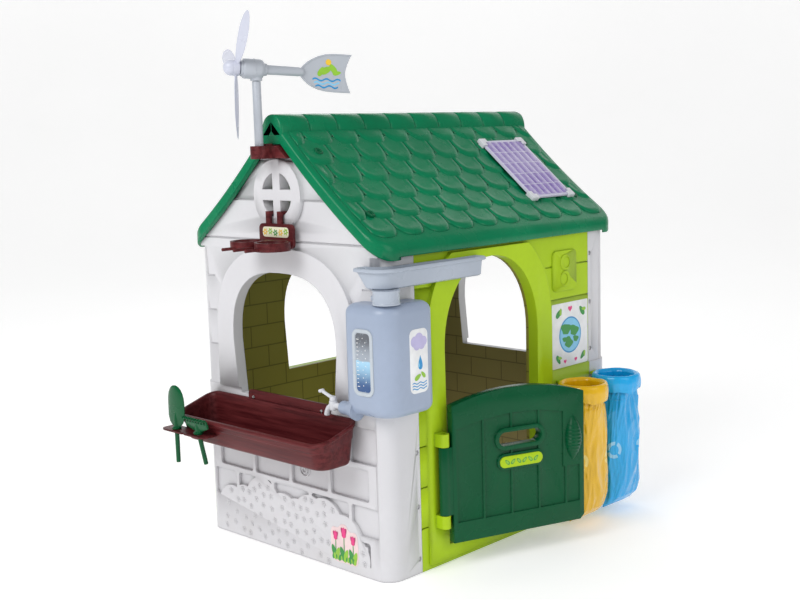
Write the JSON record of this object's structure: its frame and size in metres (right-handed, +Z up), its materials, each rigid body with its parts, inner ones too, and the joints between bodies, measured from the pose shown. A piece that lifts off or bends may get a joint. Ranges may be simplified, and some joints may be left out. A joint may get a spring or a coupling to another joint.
{
  "type": "playhouse",
  "caption": "Toy playhouse with moulded walls, tiled gable roof, swinging half door, planter, rain tank, wind vane, bird feeder, solar panel and hanging bags.",
  "frame": {"origin": "middle of the front gable wall's foot, on the ground", "axes": "+Z up, +Y from the front gable to the rear gable, +X towards the side with the door"},
  "size_m": [0.9223, 1.1383, 1.3934],
  "materials": {
    "front_wall": "moulded satin",
    "back_wall": "moulded satin",
    "left_wall": "moulded satin",
    "right_wall": "moulded satin",
    "wall_screws": "satin",
    "roof_right": "moulded satin",
    "roof_left": "moulded satin",
    "roof_screws": "moulded satin",
    "hinge_pins": "zinc plated",
    "door_leaf": "moulded satin",
    "door_plaque": "moulded satin",
    "planter": "moulded satin",
    "planter_screws": "zinc plated",
    "trowel": "moulded satin",
    "rake": "moulded satin",
    "rain_gutter": "moulded satin",
    "rain_tank": "moulded satin",
    "tank_gauge": "moulded satin",
    "tank_label": "glossy film",
    "tap_body": "moulded satin",
    "tap_lever": "moulded satin",
    "bird_feeder": "moulded satin",
    "feeder_label": "glossy film",
    "pole_bracket": "moulded satin",
    "pole": "moulded satin",
    "nacelle": "moulded satin",
    "tail_boom": "moulded satin",
    "tail_vane": "moulded satin",
    "vane_stickers": "glossy film",
    "propeller_hub": "moulded satin",
    "propeller_blades": "moulded satin",
    "propeller_shaft": "zinc plated",
    "solar_panel": "glossy film",
    "solar_clips": "moulded satin",
    "bag_rings": "moulded satin",
    "yellow_bag": "glossy plastic film",
    "blue_bag": "glossy plastic film",
    "poster": "glossy film",
    "tulip_sticker": "glossy film"
  },
  "bodies": {
    "house": {"front_wall": "front_wall", "back_wall": "back_wall", "left_wall": "left_wall", "right_wall": "right_wall", "wall_screws": "wall_screws", "roof_right": "roof_right", "roof_left": "roof_left", "roof_screws": "roof_screws", "hinge_pins": "hinge_pins", "planter": "planter", "planter_screws": "planter_screws", "rain_gutter": "rain_gutter", "rain_tank": "rain_tank", "tank_gauge": "tank_gauge", "tank_label": "tank_label", "tap_body": "tap_body", "pole_bracket": "pole_bracket", "pole": "pole", "solar_panel": "solar_panel", "solar_clips": "solar_clips", "bag_rings": "bag_rings", "yellow_bag": "yellow_bag", "blue_bag": "blue_bag", "poster": "poster", "tulip_sticker": "tulip_sticker"},
    "door": {"door_leaf": "door_leaf", "door_plaque": "door_plaque"},
    "turning_head": {"nacelle": "nacelle", "tail_boom": "tail_boom", "tail_vane": "tail_vane", "vane_stickers": "vane_stickers"},
    "propeller": {"propeller_hub": "propeller_hub", "propeller_blades": "propeller_blades", "propeller_shaft": "propeller_shaft"},
    "tap_handle": {"tap_lever": "tap_lever"},
    "trowel_tool": {"trowel": "trowel"},
    "rake_tool": {"rake": "rake"},
    "feeder": {"bird_feeder": "bird_feeder", "feeder_label": "feeder_label"}
  },
  "joints": [
    {"name": "door_hinge", "type": "hinge", "parent": "house", "child": "door", "pos_m": [0.387, 0.164, 0], "axis": [0, 0, -1], "range_deg": [-20, 90]},
    {"name": "head_yaw", "type": "hinge", "parent": "house", "child": "turning_head", "pos_m": [0, -0.069, 1.264], "axis": [0, 0, 1], "range_deg": [-38, 92]},
    {"name": "propeller_spin", "type": "hinge", "parent": "turning_head", "child": "propeller", "pos_m": [0, -0.069, 1.264], "axis": [-0.4529, -0.8888, 0.0698], "continuous": true},
    {"name": "tap_turn", "type": "hinge", "parent": "house", "child": "tap_handle", "pos_m": [0.213, -0.045, 0.438], "axis": [0, 0, 1], "range_deg": [0, 90]},
    {"name": "trowel_lift", "type": "slide", "parent": "house", "child": "trowel_tool", "axis": [0, 0, 1], "range_m": [0, 0.1]},
    {"name": "rake_lift", "type": "slide", "parent": "house", "child": "rake_tool", "axis": [0, -0.2079, 0.9781], "range_m": [0, 0.1]},
    {"name": "feeder_lift", "type": "slide", "parent": "house", "child": "feeder", "axis": [0, 0, 1], "range_m": [0, 0.015]}
  ]
}
